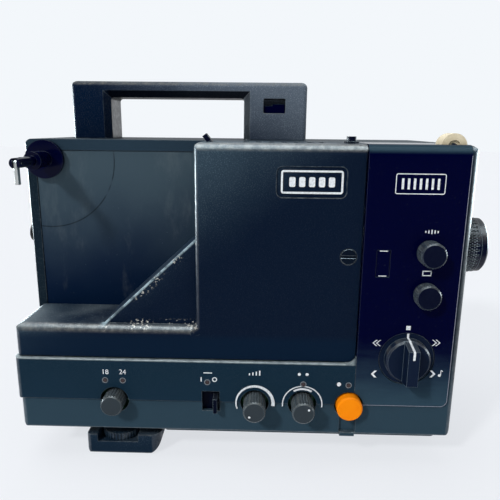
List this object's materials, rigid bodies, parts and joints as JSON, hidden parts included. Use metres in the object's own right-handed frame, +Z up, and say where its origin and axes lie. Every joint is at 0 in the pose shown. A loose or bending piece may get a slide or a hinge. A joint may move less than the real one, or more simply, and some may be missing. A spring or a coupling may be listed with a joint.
{
  "type": "movie projector",
  "caption": "Narrow-gauge sound movie projector with a reel bay, lift-off film cover, zoom lens, control panels, carrying handle and screw-adjusted feet.",
  "frame": {"origin": "middle of the outer box, on the surface the feet stand on", "axes": "+X the way the lens points, -Y the side with the controls, +Z up"},
  "size_m": [0.3328, 0.1774, 0.2737],
  "materials": {
    "satin_black": "fine grained satin",
    "bay_grey": "smooth satin",
    "gloss_black": "gloss",
    "knob_black": "satin",
    "orange": "satin",
    "ivory": "satin",
    "ceramic": "matt",
    "chassis": "brushed",
    "steel": "turned",
    "zinc": "cast",
    "light_metal": "satin",
    "rubber": "matt",
    "glass": "coated",
    "board": "board",
    "iron": "laminated",
    "signal_red": "clear",
    "painted_sheet": "matt paint",
    "lamp_metal": "bright"
  },
  "bodies": {
    "body": {"main_housing": "satin_black", "rear_housing": "satin_black", "reel_plate": "bay_grey", "chassis_plate": "chassis", "control_panel": "gloss_black", "audio_panel": "satin_black", "handle": "satin_black", "takeup_belt": "rubber", "shaft_bearings": "zinc", "drive_belt": "rubber", "motor": "steel", "motor_bracket": "chassis", "sound_head": "zinc", "lamp": "lamp_metal", "lamp_socket": "ceramic", "film_gate": "chassis", "pressure_plate": "chassis", "lens_mount": "zinc", "function_switch": "ceramic", "amplifier_board": "board", "leds": "signal_red", "transformer": "iron", "mains_inlet": "gloss_black", "audio_sockets": "gloss_black", "foot_pads": "rubber", "housing_screws": "steel"},
    "trimmer": {"trimmer_button": "gloss_black"},
    "spindle": {"takeup_spindle": "knob_black", "takeup_pulley": "knob_black"},
    "reel_lever": {"reel_lock_lever": "light_metal"},
    "takeup_gear": {"takeup_drive": "ceramic"},
    "shaft": {"main_shaft": "steel", "shutter": "painted_sheet"},
    "motor_rotor": {"motor_shaft": "steel", "fan": "knob_black"},
    "flywheel": {"flywheel": "steel"},
    "pinch": {"pinch_arm": "chassis"},
    "pinch_roll": {"pinch_roller": "rubber"},
    "mask": {"frame_mask": "painted_sheet"},
    "lens": {"lens_barrel": "knob_black", "lens_elements": "glass"},
    "zoom": {"zoom_ring": "knob_black"},
    "focus": {"focus_knob": "knob_black"},
    "framing": {"frame_knob": "knob_black"},
    "function": {"function_knob": "knob_black"},
    "volume": {"volume_knob": "knob_black"},
    "mix": {"mix_knob": "knob_black"},
    "speed": {"speed_button": "knob_black"},
    "rec": {"rec_button": "orange"},
    "power": {"power_slider": "knob_black"},
    "key": {"panel_key": "gloss_black"},
    "cover": {"front_cover": "satin_black"},
    "cover_screw": {"coin_screw": "steel"},
    "latch": {"cover_latch": "knob_black"},
    "top_slide": {"top_slider": "knob_black"},
    "roller": {"film_roller": "ivory"},
    "front_boot": {"front_foot": "satin_black"},
    "rear_boot": {"rear_foot": "satin_black"},
    "front_wheel": {"front_foot_wheel": "knob_black"},
    "rear_wheel": {"rear_foot_wheel": "knob_black"}
  },
  "joints": [
    {"name": "trimmer_press", "type": "slide", "parent": "body", "child": "trimmer", "axis": [0, 1, 0], "range_m": [0, 0.0025], "stiffness_N_per_m": 300},
    {"name": "takeup_spin", "type": "hinge", "parent": "body", "child": "spindle", "pos_m": [-0.14675, -0.02765, 0.2151], "axis": [0, 1, 0], "continuous": true},
    {"name": "reel_lever_flip", "type": "hinge", "parent": "spindle", "child": "reel_lever", "pos_m": [-0.14675, -0.07065, 0.2151], "axis": [1, 0, 0], "range_deg": [-90, 0]},
    {"name": "main_shaft_spin", "type": "hinge", "parent": "body", "child": "shaft", "pos_m": [0.04695, -0.00665, 0.16], "axis": [1, 0, 0], "continuous": true},
    {"name": "takeup_gear_spin", "type": "hinge", "parent": "body", "child": "takeup_gear", "pos_m": [-0.02215, -0.00665, 0.1397], "axis": [0, 1, 0], "continuous": true},
    {"name": "motor_spin", "type": "hinge", "parent": "body", "child": "motor_rotor", "pos_m": [0.04695, 0.04275, 0.095], "axis": [1, 0, 0], "continuous": true},
    {"name": "flywheel_spin", "type": "hinge", "parent": "body", "child": "flywheel", "pos_m": [-0.00235, -0.01865, 0.1], "axis": [0, 1, 0], "continuous": true},
    {"name": "pinch_swing", "type": "hinge", "parent": "body", "child": "pinch", "pos_m": [0.02165, -0.03465, 0.088], "axis": [0, 1, 0], "range_deg": [0, 12], "stiffness_Nm_per_rad": 0.1},
    {"name": "pinch_roll_spin", "type": "hinge", "parent": "pinch", "child": "pinch_roll", "pos_m": [0.00795, -0.04425, 0.1], "axis": [0, 1, 0], "continuous": true},
    {"name": "frame_turn", "type": "hinge", "parent": "body", "child": "framing", "pos_m": [0.12345, -0.06925, 0.131], "axis": [0, 1, 0], "range_deg": [-46, 46]},
    {"name": "mask_slide", "type": "slide", "parent": "body", "child": "mask", "axis": [0, 0, 1], "range_m": [-0.0012, 0.0012]},
    {"name": "focus_turn", "type": "hinge", "parent": "body", "child": "focus", "pos_m": [0.12345, -0.06925, 0.16], "axis": [0, 1, 0], "range_deg": [-57, 57]},
    {"name": "lens_slide", "type": "slide", "parent": "body", "child": "lens", "axis": [1, 0, 0], "range_m": [-0.0039, 0.0039]},
    {"name": "zoom_turn", "type": "hinge", "parent": "lens", "child": "zoom", "pos_m": [0.15065, -0.04325, 0.16], "axis": [1, 0, 0], "range_deg": [-45, 45]},
    {"name": "function_turn", "type": "hinge", "parent": "body", "child": "function", "pos_m": [0.11445, -0.06925, 0.0843], "axis": [0, 1, 0], "range_deg": [-112, 112]},
    {"name": "volume_turn", "type": "hinge", "parent": "body", "child": "volume", "pos_m": [0.00965, -0.06925, 0.0478], "axis": [0, 1, 0], "range_deg": [0, 270]},
    {"name": "mix_turn", "type": "hinge", "parent": "body", "child": "mix", "pos_m": [0.04355, -0.06925, 0.0478], "axis": [0, 1, 0], "range_deg": [-180, 90]},
    {"name": "speed_press", "type": "slide", "parent": "body", "child": "speed", "axis": [0, 1, 0], "range_m": [0, 0.003], "stiffness_N_per_m": 300},
    {"name": "rec_press", "type": "slide", "parent": "body", "child": "rec", "axis": [0, 1, 0], "range_m": [0, 0.003], "stiffness_N_per_m": 300},
    {"name": "power_slide", "type": "slide", "parent": "body", "child": "power", "axis": [1, 0, 0], "range_m": [-0.0062, 0]},
    {"name": "key_press", "type": "slide", "parent": "body", "child": "key", "axis": [0, 1, 0], "range_m": [0, 0.0015], "stiffness_N_per_m": 300},
    {"name": "cover_lift", "type": "slide", "parent": "body", "child": "cover", "axis": [0, -1, 0], "range_m": [0, 0.06]},
    {"name": "cover_screw_turn", "type": "hinge", "parent": "cover", "child": "cover_screw", "pos_m": [0.07105, -0.06925, 0.1557], "axis": [0, 1, 0], "range_deg": [0, 90]},
    {"name": "latch_tip", "type": "hinge", "parent": "cover", "child": "latch", "pos_m": [-0.02175, -0.05725, 0.2291], "axis": [0, 1, 0], "range_deg": [0, 60]},
    {"name": "top_slider_move", "type": "slide", "parent": "cover", "child": "top_slide", "axis": [1, 0, 0], "range_m": [-0.0065, 0.0015]},
    {"name": "roller_spin", "type": "hinge", "parent": "body", "child": "roller", "pos_m": [0.13665, -0.05525, 0.2285], "axis": [0, 1, 0], "continuous": true},
    {"name": "front_foot_lift", "type": "slide", "parent": "body", "child": "front_boot", "axis": [0, 0, 1], "range_m": [-0.01, 0.0072]},
    {"name": "front_wheel_turn", "type": "hinge", "parent": "front_boot", "child": "front_wheel", "pos_m": [-0.09185, -0.04975, 0.01], "axis": [0, 0, 1], "range_deg": [-1810, 1310]},
    {"name": "rear_foot_lift", "type": "slide", "parent": "body", "child": "rear_boot", "axis": [0, 0, 1], "range_m": [-0.01, 0.0072]},
    {"name": "rear_wheel_turn", "type": "hinge", "parent": "rear_boot", "child": "rear_wheel", "pos_m": [-0.09185, 0.06925, 0.01], "axis": [0, 0, 1], "range_deg": [-1810, 1310]}
  ],
  "couplings": [
    {"joint": "motor_spin", "follows": "main_shaft_spin", "ratio": 1.5},
    {"joint": "takeup_gear_spin", "follows": "main_shaft_spin", "ratio": 0.05},
    {"joint": "focus_turn", "follows": "lens_slide", "rad_per_m": -250},
    {"joint": "frame_turn", "follows": "mask_slide", "rad_per_m": 666},
    {"joint": "front_wheel_turn", "follows": "front_foot_lift", "rad_per_m": 3141.6},
    {"joint": "rear_wheel_turn", "follows": "rear_foot_lift", "rad_per_m": 3141.6}
  ]
}
